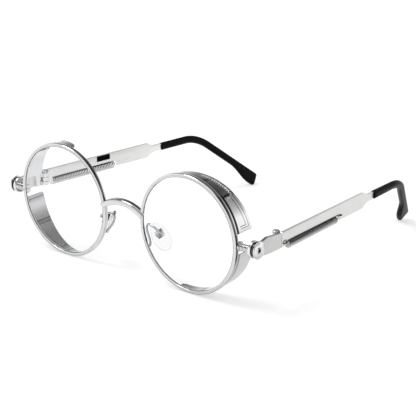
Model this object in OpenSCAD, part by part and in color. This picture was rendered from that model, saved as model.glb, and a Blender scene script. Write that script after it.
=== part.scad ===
// Round eyeglasses with side shields and a coil spring set in each temple.
// X runs across the face, +Y runs back along the temples, +Z is up. All sizes are millimetres.
// The right side is modelled and the left side is its mirror image, so both follow the same values.

/* [Front] */
// Diameter of the rim's centre line
rim_d = 49; // [46:0.5:52]
// Width of the rim, seen from the front
rim_w = 1.5; // [1.4:0.1:2]
// Depth of the rim, front to back
rim_depth = 2; // [1.8:0.1:2.4]
// Least distance between the two rims
bridge_gap = 19.9; // [18:0.1:22]
// How far the top of the front leans forward, in degrees
front_tilt = 4; // [2:0.5:6]
// Thickness of a lens
lens_t = 1.8; // [1.4:0.1:2.2]
// Radius of the lens's curve
lens_curve = 200; // [150:10:400]
// Height of the bridge's crest above the lens centres
bridge_crest = 6.3; // [5:0.1:8]
// Height at which the bridge meets the rims
bridge_foot = 3.2; // [2:0.1:4]
// Width of the bridge bar, seen from the front
bridge_w = 2.5; // [2:0.1:3]

/* [Side shields] */
// Thickness of the shield plate
shield_t = 0.7; // [0.6:0.1:0.9]
// How far the shields reach back at the temple side
shield_deep = 10.6; // [8:0.1:11]
// How far the shields reach back straight above and below the lens
shield_shallow = 5; // [4:0.1:6]
// Angle from the temple side to the upper shield's lower end
upper_from = 11; // [10:1:16]
// Angle from the temple side to the upper shield's nose end
upper_to = 103; // [90:1:106]
// Angle from the temple side to the lower shield's upper end
lower_from = 9; // [8:1:16]
// Angle from the temple side to the lower shield's nose end
lower_to = 104; // [90:1:108]
// Depth of the stepped panel pressed into the upper shield
panel_step = 0.15; // [0.1:0.05:0.2]

/* [End pieces] */
// Diameter of the ribbed end bar
bar_d = 3.1; // [2.6:0.1:3.4]
// Number of ribs on the end bar
rib_count = 7; // [5:1:8]
// Distance from the rim to the knob collar
bar_len = 5.2; // [4.8:0.1:6.5]
// Diameter of the knob
knob_d = 7.2; // [6.6:0.1:7.8]
// Height of the knob's dome
knob_h = 1.8; // [1.5:0.1:2.5]
// Thickness of the collar behind the knob
collar_t = 1.4; // [1.2:0.1:1.8]
// Distance from the knob's centre back to the hinge axis
side_plate_len = 15.2; // [14:0.1:16]

/* [Temples] */
// Length of a temple from its hinge to the start of the bend
temple_straight = 91; // [87:0.5:95.5]
// Height of the temple plate
plate_h = 7; // [6.6:0.1:7.4]
// Thickness of the temple and side plates
plate_t = 1.3; // [1.2:0.1:1.5]
// How far the temples lean in at rest, in degrees
toe_in = 4.2; // [3:0.1:5]
// How far the temples rise to the back, in degrees
temple_rise = 1.5; // [1:0.1:2]
// Distance from the hinge to the rear end of the temple plate
plate_end = 65; // [62.5:0.5:66.5]
// Height of the sleeve on the temple end
tip_h = 3.7; // [3.4:0.1:4]
// Thickness of the sleeve on the temple end
tip_t = 2.9; // [2.8:0.1:3.2]
// Angle of the bend behind the ear
bend = 42; // [38:0.5:46]
// How far the bend is turned in towards the head
bend_roll = 26; // [18:0.5:27]
// Length of the straight leg after the bend
leg_len = 34.5; // [31:0.5:35]

/* [Springs] */
// Outer diameter of the spring
spring_d = 3.6; // [3.4:0.1:3.7]
// Diameter of the spring wire
wire_d = 0.5; // [0.44:0.02:0.54]
// Number of turns of the spring
spring_turns = 38; // [33:1:38]
// Length of the coiled stretch
coil_len = 36.5; // [36:0.5:37]

/* [Hinges] */
// Outer diameter of the hinge knuckles
knuckle_d = 2.8; // [2.4:0.1:3]
// Height of the three hinge knuckles together
knuckle_h = 5.8; // [5.4:0.1:6]
// Diameter of the hinge screw
screw_d = 1.4; // [1.2:0.1:1.5]

/* [Nose pads] */
// Length of a nose pad
pad_len = 13; // [12:0.5:14]
// Width of a nose pad
pad_w = 7.4; // [6.5:0.1:8]
// Thickness of a nose pad
pad_t = 1.8; // [1.6:0.1:2]
// How far a pad leans out towards its lower end, in degrees
pad_lean = 33; // [28:1:35]
// How far a pad is turned to face the nose, in degrees
pad_splay = 35; // [30:1:40]

/* [Hidden] */
$fn = 96;

// Clearances between the pieces
pin_fit = 0.04;
core_fit = 0.02;
knuckle_gap = 0.1;
plate_gap = 0.2;
leaf_gap = 0.35;
hinge_gap = 0.12;

// Rims and lenses
rim_ri = rim_d / 2 - rim_w / 2;
rim_ro = rim_d / 2 + rim_w / 2;
lens_x = bridge_gap / 2 + rim_ro;
groove_depth = 0.7;
groove_half = 0.6;
lens_fit = 0.05;
lens_r = rim_ri - lens_fit;
bevel_half = groove_half * (1 + lens_fit / groove_depth);
lens_sag = lens_r * lens_r / 2 / lens_curve;
lens_steps = 8;
slit = 0.2;

// Shields, set in from the rim's outer edge
shield_set = 0.4;
shield_ro = rim_ro - shield_set;
shield_slope = (shield_deep - shield_shallow) / shield_ro;
shield_round = 2.4;
shield_corner = 1.2;
shield_spare = 6;
panel_from = upper_from + 3.5;
panel_to = 47;
trim_from = 51;
panel_rear = 1.6;
panel_inset = 1.4;
panel_front = 2.9;
trim_front = 0.4;

// Bridge
foot_x = bridge_gap / 2 + 0.5;
bridge_r = (foot_x * foot_x + pow(bridge_crest - bridge_foot, 2)) / 2 / (bridge_crest - bridge_foot);
bridge_arc = asin(foot_x / bridge_r) + 4;
bridge_proud = 0.8;
bridge_line = 0.25;

// End pieces, from the rim out to the outer face of the plates
knuckle_r = knuckle_d / 2;
screw_r = screw_d / 2;
collar_x = lens_x + rim_ro + bar_len;
plate_x = collar_x + collar_t;
hinge_x = plate_x - knuckle_r - hinge_gap;
inner_x = plate_x - hinge_x;
mid_x = inner_x + plate_t / 2;
knob_y = 2.7;
hinge_y = knob_y + side_plate_len;
bar_y = 0.8;
bar_lift = 0.8;
knob_rise = 0.5;
rib_height = 0.25;
rib_t = 0.44;
knob_shank = 1.2;
knob_edge = 0.3;
eye_r = 2.9;
lock_h = 3.2;
lock_w = 1.8;
lock_depth = 2.2;
lock_screw_r = 0.4;
lock_head_h = 0.5;

// Hinge
leaf_t = 0.7;
leaf_len = 3;
knuckle_each = (knuckle_h - 2 * knuckle_gap) / 3;
head_r = 1.5;
head_h = 1.2;
slot_w = 0.3;

// Temple outline, measured back from the hinge axis and up from the plate's middle
spring_from = 4.9;
notch_from = spring_from - 1;
notch_to = spring_from + coil_len + 3.2;
strip_h = 4.2;
half_h = plate_h / 2;
belly_low = 2.9;
front_low = 2.7;
notch_low = 2.4;
spring_z = half_h - strip_h - 0.05 - spring_d / 2;
hook_z = -1.4;
hook_front = 1.2;
hook_rear = notch_to + 1.4;
neck_half = 1.6;
neck_from = plate_end + 3.6;
sleeve_from = 74;
core_r = 0.6;
core_leg = 12;
bend_r = 21;
sleeve_run = temple_straight - sleeve_from;
leg_from = sleeve_run + bend_r * bend * PI / 180;
sleeve_len = leg_from + leg_len;
paddle_h = 7;
paddle_from = leg_from + leg_len / 2;
toe_r = 1.4;

// Spring wire
wire_r = wire_d / 2;
coil_r = spring_d / 2 - wire_r;
turn_rings = 8;
wire_sides = 6;
hook_x = mid_x + plate_t / 2 + wire_r + 0.1;

// Nose pads, in the front's own axes
pad_at = [14.6, 7, -7.8];
pad_back = 8;
pad_up = 1.4;
box_l = 3.4;
box_w = 3;
box_h = 2.2;
box_wall = 0.7;
box_back = 0.7;
box_end = 0.5;
box_gap = 0.4;
tab_w = box_w - 2 * box_wall - 0.2;
tab_l = 1.8;
tab_h = 1.35;
pad_pivot = pad_t / 2 + box_gap + 0.75;
pad_edge = 0.4;
pad_screw_r = 0.35;
arm_r = 0.5;

// Height of the lens centres above the ground, and the middle of the part front to back
function turn_x(p, a) = [p.x, p.y * cos(a) - p.z * sin(a), p.y * sin(a) + p.z * cos(a)];
function turn_y(p, a) = [p.x * cos(a) + p.z * sin(a), p.y, p.z * cos(a) - p.x * sin(a)];
function turn_z(p, a) = [p.x * cos(a) - p.y * sin(a), p.x * sin(a) + p.y * cos(a), p.z];
function along_temple(p) = turn_x(turn_z(p, toe_in), temple_rise) + [hinge_x, hinge_y, 0];
// The sleeve's line: a point q of its cross section, carried s along the sleeve in the temple's own axes
function bend_at(s) = min(bend, max(0, (s - sleeve_run) / bend_r * 180 / PI));
function on_sleeve(s, q) =
    let (a = bend_at(s), leg = max(0, s - leg_from), roll = bend_roll * min(1, max(0, s / sleeve_run)),
        back = min(s, sleeve_run) - sleeve_run + bend_r * sin(a) + leg * cos(a) + q.y * sin(a),
        up = bend_r * (cos(a) - 1) - leg * sin(a) + q.y * cos(a))
    [mid_x, temple_straight, 0] + turn_y([q.x, back, up], roll);
toe_low = along_temple(on_sleeve(sleeve_len - toe_r, [0, tip_h / 2 - paddle_h + toe_r])).z - toe_r;
toe_back = along_temple(on_sleeve(sleeve_len - toe_r, [0, tip_h / 2 - toe_r])).y + toe_r;
rim_low = -rim_ro * cos(front_tilt) - rim_depth / 2 * sin(front_tilt);
lift = -min(rim_low, toe_low);
rim_front = -rim_ro * sin(front_tilt) - rim_depth / 2 * cos(front_tilt);
mid_y = (rim_front + toe_back) / 2;

// Places
module whole() translate([0, -mid_y, lift]) children();
module left() mirror([1, 0, 0]) children();
module front() whole() rotate([front_tilt, 0, 0]) children();
module at_lens() front() translate([lens_x, 0, 0]) children();
module at_arm() whole() translate([hinge_x, hinge_y, 0]) rotate([temple_rise, 0, 0]) children();
module at_temple() at_arm() rotate([0, 0, toe_in]) children();
module at_pad() front() translate(pad_at) {
    rotate([pad_back, -pad_lean, 0]) rotate([0, 0, -pad_splay]) children();
}

// Turns a shape drawn about Z so that its axis runs back and its flat plane faces forward
module laid_back() rotate([90, 0, 0]) mirror([0, 0, 1]) children();
// Stands a plate drawn as back and up so that its thickness runs outwards
module upright(t) rotate([90, 0, 90]) linear_extrude(t) children();
module across(r, h) rotate([0, 90, 0]) cylinder(r = r, h = h);
module sector(from, to) rotate([0, 0, from]) rotate_extrude(angle = to - from) children();

function arc(c, r, a0, a1, n) = [for (i = [0 : n])
    let (a = a0 + (a1 - a0) * i / n) c + r * [cos(a), sin(a)]];
function rounded(w, h, r) = concat(
    arc([w / 2 - r, h / 2 - r], r, 0, 90, 4), arc([r - w / 2, h / 2 - r], r, 90, 180, 4),
    arc([r - w / 2, r - h / 2], r, 180, 270, 4), arc([w / 2 - r, r - h / 2], r, 270, 360, 4));

// A tube of straight rings along a route, closed at both ends
function unit(v) = v / norm(v);
function heading(p, i) = unit(p[min(i + 1, len(p) - 1)] - p[max(i - 1, 0)]);
// Carries the ring's side direction along the route, so that the tube doesn't twist
function carried(p, u0, i = 0, out = []) =
    i == len(p) ? out :
    let (d = heading(p, i), u = unit(u0 - d * (u0 * d)))
    carried(p, u, i + 1, concat(out, [u]));
module tube(p, r, n, side) {
    u = carried(p, side);
    points = [for (i = [0 : len(p) - 1]) for (k = [0 : n - 1])
        let (d = heading(p, i), v = cross(d, u[i]))
        p[i] + r * (u[i] * cos(360 * k / n) + v * sin(360 * k / n))];
    polyhedron(points, concat(walls(len(p), n), cap(n, 0), flipped(cap(n, (len(p) - 1) * n))));
}
function bezier(a, b, c, d, t) =
    a * pow(1 - t, 3) + 3 * b * t * pow(1 - t, 2) + 3 * c * t * t * (1 - t) + d * pow(t, 3);
function curve(a, b, c, d, n) = [for (i = [0 : n]) bezier(a, b, c, d, i / n)];

// The rim has a groove for the lens and is slit at the temple side
module rim() color("silver") at_lens() laid_back() difference() {
    rotate_extrude() polygon([
        [rim_ri, -rim_depth / 2], [rim_ro, -rim_depth / 2], [rim_ro, rim_depth / 2], [rim_ri, rim_depth / 2],
        [rim_ri, groove_half], [rim_ri + groove_depth, 0], [rim_ri, -groove_half]]);
    translate([rim_ri - 1, -slit / 2, -rim_depth]) cube([rim_w + 2, slit, 2 * rim_depth]);
}

// A thin plano lens, evenly curved, with the bevel that sits in the rim's groove
function lens_face(t, half) = [lens_r * t, half - lens_sag * (1 - t * t)];
module lens() color("aliceblue") at_lens() laid_back() rotate_extrude() polygon(concat(
    [for (i = [0 : lens_steps]) lens_face(i / lens_steps, -lens_t / 2)],
    [[lens_r, -bevel_half], [rim_ri + groove_depth, 0], [lens_r, bevel_half]],
    [for (i = [lens_steps : -1 : 0]) lens_face(i / lens_steps, lens_t / 2)]));

module bridge() color("silver") front() translate([0, 0, bridge_crest - bridge_r]) difference() {
    laid_back() sector(90 - bridge_arc, 90 + bridge_arc) polygon([
        [bridge_r - bridge_w / 2, -rim_depth / 2 - bridge_proud],
        [bridge_r + bridge_w / 6, -rim_depth / 2 - bridge_proud],
        [bridge_r + bridge_w / 6, -rim_depth / 2 - bridge_proud + bridge_line],
        [bridge_r + bridge_w / 2, -rim_depth / 2 - bridge_proud + bridge_line],
        [bridge_r + bridge_w / 2, rim_depth / 2 - 0.2],
        [bridge_r - bridge_w / 2, rim_depth / 2 - 0.2]]);
    for (side = [-1, 1]) translate([side * lens_x, 0, bridge_r - bridge_crest]) laid_back() {
        translate([0, 0, -rim_depth / 2]) cylinder(r = rim_ro, h = 2 * rim_depth);
        translate([0, 0, -2 * rim_depth]) cylinder(r = rim_ri + 0.3, h = 4 * rim_depth);
    }
}

// Outline of a shield seen from above: its rear edge slants back towards the temple, its nose end is rounded
function shield_edge(x, inset) = shield_shallow - inset + shield_slope * x;
function shield_plan(nose_x, inset, r) =
    let (tilt = atan(shield_slope), cx = nose_x + r, cy = shield_edge(cx, inset) - r / cos(tilt))
    concat([[nose_x, -1]], arc([cx, cy], r, 180, 90 + tilt, 8),
        [[shield_ro + 2, shield_edge(shield_ro + 2, inset)], [shield_ro + 2, -1]]);
module from_above(points) rotate([90, 0, 0]) linear_extrude(4 * rim_ro, center = true) polygon(points);
// Keeps what lies past the shield's temple end, with a rounded corner at the back
module end_corner(from) {
    low = shield_ro * sin(from);
    deep = shield_edge(shield_ro * cos(from), 0);
    rotate([0, 90, 0]) linear_extrude(4 * rim_ro, center = true) polygon(concat(
        [[-deep - 1, shield_ro + 2], [1, shield_ro + 2], [1, low]],
        arc([shield_corner - deep, low + shield_corner], shield_corner, 270, 180, 6),
        [[-deep - 1, low + shield_corner + 1]]));
}
module shield(from, to) intersection() {
    sector(from - shield_spare, to + shield_spare) translate([shield_ro - shield_t, rim_depth / 2]) {
        square([shield_t, shield_deep + 2]);
    }
    from_above(shield_plan(shield_ro * cos(to), 0, shield_round));
    end_corner(from);
}
module panel(from, to, inset, step, front = panel_front) intersection() {
    sector(from, to) translate([shield_ro - step, rim_depth / 2 + front]) square([2, shield_deep]);
    from_above(shield_plan(-shield_ro, inset, 1));
}
module upper_shield() color("silver") at_lens() laid_back() difference() {
    shield(upper_from, upper_to);
    panel(panel_from, panel_to, panel_rear, panel_step);
    panel(panel_from + 2, panel_to - 2, panel_rear + panel_inset, 2 * panel_step);
    panel(trim_from, upper_to - 8, panel_rear / 2, panel_step / 2, trim_front);
}
module lower_shield() color("silver") at_lens() laid_back() mirror([0, 1, 0]) shield(lower_from, lower_to);

// The split block behind the rim's joint, which closes the rim round its lens
module at_lock() at_lens() translate([rim_ri + lock_w / 2, rim_depth / 2 + lock_depth / 2, 0]) children();
module lock_block(grow) cube([lock_w, lock_depth, lock_h + 2 * grow], center = true);
module lens_lock() color("silver") at_lock() difference() {
    lock_block(0);
    cube([2 * lock_w, 2 * lock_depth, slit], center = true);
    cylinder(r = lock_screw_r, h = 2 * lock_h, center = true);
}
module lock_screw() color("gray") at_lock() {
    cylinder(r = lock_screw_r, h = lock_h, center = true);
    translate([0, 0, -lock_h / 2 - lock_head_h]) cylinder(r = 2 * lock_screw_r, h = lock_head_h);
}

// The ribbed bar that leaves the rim, and the round collar that it ends in
module end_bar() color("silver") difference() {
    at_arm() {
        translate([collar_x - hinge_x, -side_plate_len, knob_rise]) across(knob_d / 2, collar_t);
        translate([collar_x - hinge_x - bar_len - 1, bar_y - hinge_y, bar_lift]) {
            across(bar_d / 2 - rib_height, bar_len + 1);
            for (i = [0 : rib_count - 1]) {
                translate([1 + (i + 0.5) * bar_len / rib_count - rib_t / 2, 0, 0]) across(bar_d / 2, rib_t);
            }
        }
    }
    at_lens() rotate([90, 0, 0]) cylinder(r = rim_ro, h = 6 * rim_depth, center = true);
    at_lock() lock_block(lock_head_h);
    at_arm() translate([collar_x - hinge_x - 1, -side_plate_len, knob_rise]) {
        across(knob_shank, collar_t + 2);
    }
}

module side_plate() color("silver") at_arm() translate([inner_x, 0, 0]) difference() {
    upright(plate_t) {
        translate([-side_plate_len, knob_rise]) circle(r = eye_r);
        polygon([
            [-side_plate_len, knob_rise - eye_r],
            [-0.66 * side_plate_len, -belly_low], [-0.4 * side_plate_len, -belly_low],
            [-plate_gap / 2, -front_low], [-plate_gap / 2, half_h], [-0.63 * side_plate_len, half_h + 0.7],
            [-0.76 * side_plate_len, knob_rise + eye_r], [-side_plate_len, knob_rise + eye_r]]);
    }
    translate([-1, -side_plate_len, knob_rise]) across(knob_shank, plate_t + 2);
}

// The domed rivet that holds the side plate to the collar
module knob() color("silver") at_arm() translate([collar_x - hinge_x, -side_plate_len, knob_rise]) {
    across(knob_shank, collar_t + plate_t);
    translate([collar_t + plate_t, 0, 0]) rotate([0, 90, 0]) rotate_extrude() polygon(concat(
        [[0, 0], [knob_d / 2 - knob_edge, 0], [knob_d / 2, knob_edge]],
        [for (i = [0 : 8]) let (a = i * 90 / 8)
            [knob_d / 2 * cos(a), knob_h / 3 + knob_h * 2 / 3 * sin(a)]]));
}

module knuckle(from, height) translate([0, 0, from]) cylinder(r = knuckle_r, h = height);
// The web from a knuckle to its leaf; side is -1 towards the front and 1 towards the back
module web(side, from, height) {
    translate([0, side > 0 ? plate_gap : -knuckle_r - leaf_gap, from]) {
        cube([inner_x, knuckle_r + leaf_gap - plate_gap, height]);
    }
}
module leaf(side) {
    leaf_y = side > 0 ? knuckle_r + leaf_gap : -knuckle_r - leaf_gap - leaf_len;
    translate([inner_x - leaf_t, leaf_y, -knuckle_h / 2]) cube([leaf_t, leaf_len, knuckle_h]);
}
module hinge_front() color("silver") at_arm() difference() {
    union() {
        leaf(-1);
        for (from = [-knuckle_h / 2, knuckle_h / 2 - knuckle_each]) {
            knuckle(from, knuckle_each);
            web(-1, from, knuckle_each);
        }
    }
    translate([0, 0, -knuckle_h]) cylinder(r = screw_r, h = knuckle_h);
    cylinder(r = screw_r + core_fit, h = knuckle_h);
}
module hinge_rear() color("silver") at_temple() difference() {
    union() {
        leaf(1);
        knuckle(-knuckle_each / 2, knuckle_each);
        web(1, -knuckle_each / 2, knuckle_each);
    }
    translate([0, 0, -knuckle_h]) cylinder(r = screw_r + pin_fit, h = 2 * knuckle_h);
}
module hinge_screw() color("gray") at_arm() difference() {
    union() {
        translate([0, 0, -knuckle_h / 2]) cylinder(r = screw_r, h = knuckle_h);
        translate([0, 0, knuckle_h / 2]) cylinder(r = head_r, h = head_h);
    }
    translate([-2 * head_r, -slot_w / 2, knuckle_h / 2 + head_h - 0.4]) cube([4 * head_r, slot_w, 1]);
}

// The flat spring plate of the temple, its neck and the core wire inside the sleeve
module temple() color("silver") {
    at_temple() difference() {
        translate([inner_x, 0, 0]) upright(plate_t) polygon(concat(
            [[plate_gap / 2, -front_low], [notch_from, -notch_low], [notch_from, half_h - strip_h]],
            [[notch_to, half_h - strip_h], [notch_to, -half_h], [plate_end - 0.6, -half_h]],
            [[plate_end + 0.4, -half_h + 0.5], [neck_from, -neck_half], [sleeve_from, -neck_half]],
            [[sleeve_from, neck_half], [neck_from, neck_half + 0.1]],
            [[plate_end + 0.6, half_h - 0.3], [plate_end - 0.4, half_h]],
            [[plate_gap / 2 + 0.6, half_h], [plate_gap / 2, half_h - 0.4]]));
        for (y = [hook_front, hook_rear]) translate([0, y, hook_z]) across(wire_r, 2 * inner_x + plate_t);
    }
    at_temple() loft([for (s = core_steps) core_ring(s, core_r)]);
}

// The walls and end caps of a solid whose slices all have the same number of points
function walls(slices, n, first = 0) = [for (i = [0 : slices - 2]) for (k = [0 : n - 1])
    let (a = first + i * n + k, b = first + i * n + (k + 1) % n) each [[a, b, a + n], [b, b + n, a + n]]];
function cap(n, first) = [for (k = [1 : n - 2]) [first, first + k + 1, first + k]];
function flipped(faces) = [for (f = faces) [f[0], f[2], f[1]]];
module loft(slices) {
    n = len(slices[0]);
    polyhedron([for (ring = slices) each ring],
        concat(walls(len(slices), n), cap(n, 0), flipped(cap(n, (len(slices) - 1) * n))));
}

// The sleeve: straight, bent, then a leg that widens downwards into a paddle, bored for the core wire
tip_outline = rounded(tip_t, tip_h, tip_t / 2 - 0.1);
function core_ring(s, r) = [for (q = tip_outline) on_sleeve(s, r * q / norm(q))];
function tip_ring(s, h, inset) =
    [for (q = rounded(tip_t - 2 * inset, h - 2 * inset, (tip_t / 2 - 0.1) * (1 - inset / toe_r) + 0.02))
        on_sleeve(s, [q.x, q.y + tip_h / 2 - h / 2])];
bend_steps = [for (i = [0 : 8]) sleeve_run + (leg_from - sleeve_run) * i / 8];
bore_steps = concat([0, sleeve_run / 2], bend_steps, [leg_from + core_leg]);
core_steps = concat([-1], bore_steps);
function paddle_height(t) = tip_h + (paddle_h - tip_h) * (1 - cos(180 * min(1, t))) / 2;
paddle_steps = 9;
widening = sleeve_len - toe_r - paddle_from;
module tip() color("black") at_temple() {
    outer = concat(
        [for (s = concat([0, sleeve_run / 2], bend_steps)) tip_ring(s, tip_h, 0)],
        [for (i = [0 : paddle_steps])
            tip_ring(paddle_from + widening * i / paddle_steps, paddle_height(1.15 * i / paddle_steps), 0)],
        [for (a = [18 : 18 : 90])
            tip_ring(sleeve_len - toe_r + toe_r * sin(a), paddle_h, toe_r * (1 - cos(a)))]);
    bore = [for (s = bore_steps) core_ring(s, core_r + core_fit)];
    n = len(tip_outline);
    inner = len(outer) * n;
    mouth = [for (k = [0 : n - 1])
        let (b = (k + 1) % n) each [[k, inner + k, b], [b, inner + k, inner + b]]];
    polyhedron([for (ring = concat(outer, bore)) each ring], concat(
        walls(len(outer), n), flipped(cap(n, inner - n)), mouth,
        flipped(walls(len(bore), n, inner)), cap(n, inner + (len(bore) - 1) * n)));
}

// The extension spring: a hook through the plate, the coil in the notch, a hook through the plate
coil_at = [mid_x, spring_from, spring_z];
function coil_point(t) =
    coil_at + [coil_r * cos(360 * t), coil_len * t / spring_turns, -coil_r * sin(360 * t)];
through_x = inner_x - 0.15;
front_hook = concat(
    [[through_x, hook_front, hook_z], [hook_x - 0.5, hook_front, hook_z]],
    curve([hook_x - 0.3, hook_front, hook_z], [hook_x + 0.5, hook_front, hook_z],
        [hook_x + 0.3, hook_front + 1.6, hook_z + 1.2], coil_point(0) + [0, -0.35, coil_r * 0.95], 7),
    [coil_point(0) + [0.02, -0.12, coil_r * 0.45]]);
coil_top = coil_point(spring_turns + 0.75);
rear_hook = concat(
    curve(coil_top, coil_top + [0.8 * coil_r, 0.6, 0],
        [hook_x + 0.8, hook_rear, hook_z], [hook_x - 0.3, hook_rear, hook_z], 9),
    [[hook_x - 0.5, hook_rear, hook_z], [through_x, hook_rear, hook_z]]);
coil = [for (i = [0 : (spring_turns + 0.75) * turn_rings - 1]) coil_point(i / turn_rings)];
spring_route = concat(front_hook, coil, rear_hook);
turn_gap = min([for (i = [0 : turn_rings])
    norm(coil_point(1 + i / turn_rings) - coil_point(i / turn_rings))]) - wire_d;
echo(least_gap_between_turns = turn_gap);
module spring() color("dimgray") at_temple() tube(spring_route, wire_r, wire_sides, [0, 0, 1]);

// Pads, drawn with their length up, their face towards -X and their box on the +X side
function egg(l, w, n) = [for (i = [0 : n - 1])
    let (a = 360 * i / n) [w / 2 * cos(a) * (1 - 0.12 * sin(a)), l / 2 * sin(a)]];
module pad_slab(l, w, t) rotate([90, 0, 90]) linear_extrude(t, center = true) polygon(egg(l, w, 40));
module at_pivot() translate([pad_pivot, 0, pad_up]) rotate([90, 0, 0]) children();
module nose_pad() color("gainsboro") at_pad() difference() {
    union() {
        pad_slab(pad_len, pad_w, pad_t - 2 * pad_edge);
        pad_slab(pad_len - 1, pad_w - 1, pad_t);
        translate([pad_t / 2 - 0.1, -tab_w / 2, pad_up - tab_l / 2]) cube([tab_h + 0.1, tab_w, tab_l]);
    }
    at_pivot() cylinder(r = pad_screw_r + pin_fit, h = pad_w, center = true);
}
module pad_box() color("silver") at_pad() difference() {
    translate([pad_t / 2 + box_gap, -box_w / 2, pad_up - box_l / 2]) cube([box_h, box_w, box_l]);
    translate([pad_t / 2, -box_w / 2 + box_wall, pad_up - box_l / 2 + box_end]) {
        cube([box_gap + box_h - box_back, box_w - 2 * box_wall, box_l - 2 * box_end]);
    }
    at_pivot() cylinder(r = pad_screw_r, h = 2 * box_w, center = true);
}
module pad_screw() color("gray") at_pad() at_pivot() {
    cylinder(r = pad_screw_r, h = box_w, center = true);
    translate([0, 0, box_w / 2]) cylinder(r = 2 * pad_screw_r, h = 0.4);
}
// The wire from the back of the rim, up and over to the back of the pad's box
arm_low = 10.5;
arm_loop = 8;
arm_from = [lens_x - sqrt(pow(rim_d / 2, 2) - pow(arm_low, 2)), rim_depth / 2, -arm_low];
function pad_axes(p) = turn_y(turn_x(turn_z(p, -pad_splay), pad_back), -pad_lean);
arm_to = pad_at + pad_axes([pad_t / 2 + box_gap + box_h, 0, pad_up]);
arm_out = pad_axes([1, 0, 0]);
arm_route = concat(
    [arm_from, arm_from + arm_loop * [0, 0.075, 0]],
    curve(arm_from + arm_loop * [0, 0.125, 0], arm_from + arm_loop * [-0.075, 0.4, 0.1875],
        arm_from + arm_loop * [-0.55, 0.375, 0.625], arm_from + arm_loop * [-0.4, 0.425, 0.95], 7),
    curve(arm_from + arm_loop * [-0.3625, 0.4375, 1], arm_from + arm_loop * [-0.2, 0.4, 1.125],
        arm_to + 0.3 * arm_loop * arm_out, arm_to + 0.1 * arm_loop * arm_out, 7),
    [arm_to]);
module pad_arm() color("silver") front() tube(arm_route, arm_r, 8, [1, 0, 0]);

module rim_left() left() rim();
module rim_right() rim();
module lens_left() left() lens();
module lens_right() lens();
module upper_shield_left() left() upper_shield();
module upper_shield_right() upper_shield();
module lower_shield_left() left() lower_shield();
module lower_shield_right() lower_shield();
module lens_lock_left() left() lens_lock();
module lens_lock_right() lens_lock();
module lock_screw_left() left() lock_screw();
module lock_screw_right() lock_screw();
module end_bar_left() left() end_bar();
module end_bar_right() end_bar();
module side_plate_left() left() side_plate();
module side_plate_right() side_plate();
module knob_left() left() knob();
module knob_right() knob();
module hinge_front_left() left() hinge_front();
module hinge_front_right() hinge_front();
module hinge_rear_left() left() hinge_rear();
module hinge_rear_right() hinge_rear();
module hinge_screw_left() left() hinge_screw();
module hinge_screw_right() hinge_screw();
module temple_left() left() temple();
module temple_right() temple();
module spring_left() left() spring();
module spring_right() spring();
module tip_left() left() tip();
module tip_right() tip();
module pad_arm_left() left() pad_arm();
module pad_arm_right() pad_arm();
module pad_box_left() left() pad_box();
module pad_box_right() pad_box();
module pad_screw_left() left() pad_screw();
module pad_screw_right() pad_screw();
module nose_pad_left() left() nose_pad();
module nose_pad_right() nose_pad();

rim_left();
rim_right();
lens_left();
lens_right();
bridge();
upper_shield_left();
upper_shield_right();
lower_shield_left();
lower_shield_right();
lens_lock_left();
lens_lock_right();
lock_screw_left();
lock_screw_right();
end_bar_left();
end_bar_right();
side_plate_left();
side_plate_right();
knob_left();
knob_right();
hinge_front_left();
hinge_front_right();
hinge_rear_left();
hinge_rear_right();
hinge_screw_left();
hinge_screw_right();
temple_left();
temple_right();
spring_left();
spring_right();
tip_left();
tip_right();
pad_arm_left();
pad_arm_right();
pad_box_left();
pad_box_right();
pad_screw_left();
pad_screw_right();
nose_pad_left();
nose_pad_right();
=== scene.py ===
# Round sunglasses with cut side shields, ribbed end bars, domed rivets and a coil spring in each temple.
# Pieces are drawn in millimetres in the front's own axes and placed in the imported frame, in metres.
import math
import bmesh
import bpy
from mathutils import Matrix, Vector


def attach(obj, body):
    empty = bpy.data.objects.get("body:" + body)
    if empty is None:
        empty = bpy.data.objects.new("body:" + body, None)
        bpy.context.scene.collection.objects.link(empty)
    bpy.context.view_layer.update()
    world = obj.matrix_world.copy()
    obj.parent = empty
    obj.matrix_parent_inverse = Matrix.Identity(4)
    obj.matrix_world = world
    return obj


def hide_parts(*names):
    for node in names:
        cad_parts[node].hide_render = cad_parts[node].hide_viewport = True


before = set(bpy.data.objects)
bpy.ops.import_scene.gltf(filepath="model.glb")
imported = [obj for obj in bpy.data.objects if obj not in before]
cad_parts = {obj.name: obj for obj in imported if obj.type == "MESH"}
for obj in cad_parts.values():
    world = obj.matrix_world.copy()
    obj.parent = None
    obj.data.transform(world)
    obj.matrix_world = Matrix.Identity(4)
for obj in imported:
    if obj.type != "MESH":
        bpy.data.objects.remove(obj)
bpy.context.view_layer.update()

# Camera
# A long lens looks from the front right and a little above, as in the product picture.
# It stands 0.54 m away, and its roll is the slight tilt of the picture.
MM = 0.001
LIFT, MIDDLE = 25.3523, 73.0122
WHOLE = Matrix.Translation((0, -MIDDLE, LIFT))
TURN, RISE, ROLL = math.radians(39.70), math.radians(16.93), math.radians(0.97)
AWAY, ASIDE, ABOVE = 540, 34.91, 3.35
FOCAL_PX, PICTURE_PX, SENSOR = 1302.2, 416, 36
back = Vector((math.sin(TURN) * math.cos(RISE), -math.cos(TURN) * math.cos(RISE), math.sin(RISE)))
right = Vector((math.cos(TURN), math.sin(TURN), 0))
up = back.cross(right)
right, up = right * math.cos(ROLL) + up * math.sin(ROLL), up * math.cos(ROLL) - right * math.sin(ROLL)
spot = WHOLE @ (back * AWAY + right * ASIDE + up * ABOVE)
camera = bpy.data.objects.new("camera", bpy.data.cameras.new("camera"))
camera.matrix_world = Matrix.Translation(spot * MM) @ Matrix((right, up, back)).transposed().to_4x4()
camera.data.sensor_width = SENSOR
camera.data.lens = FOCAL_PX * SENSOR / PICTURE_PX
camera.data.clip_start = 0.01
bpy.context.scene.collection.objects.link(camera)
bpy.context.scene.camera = camera


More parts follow.
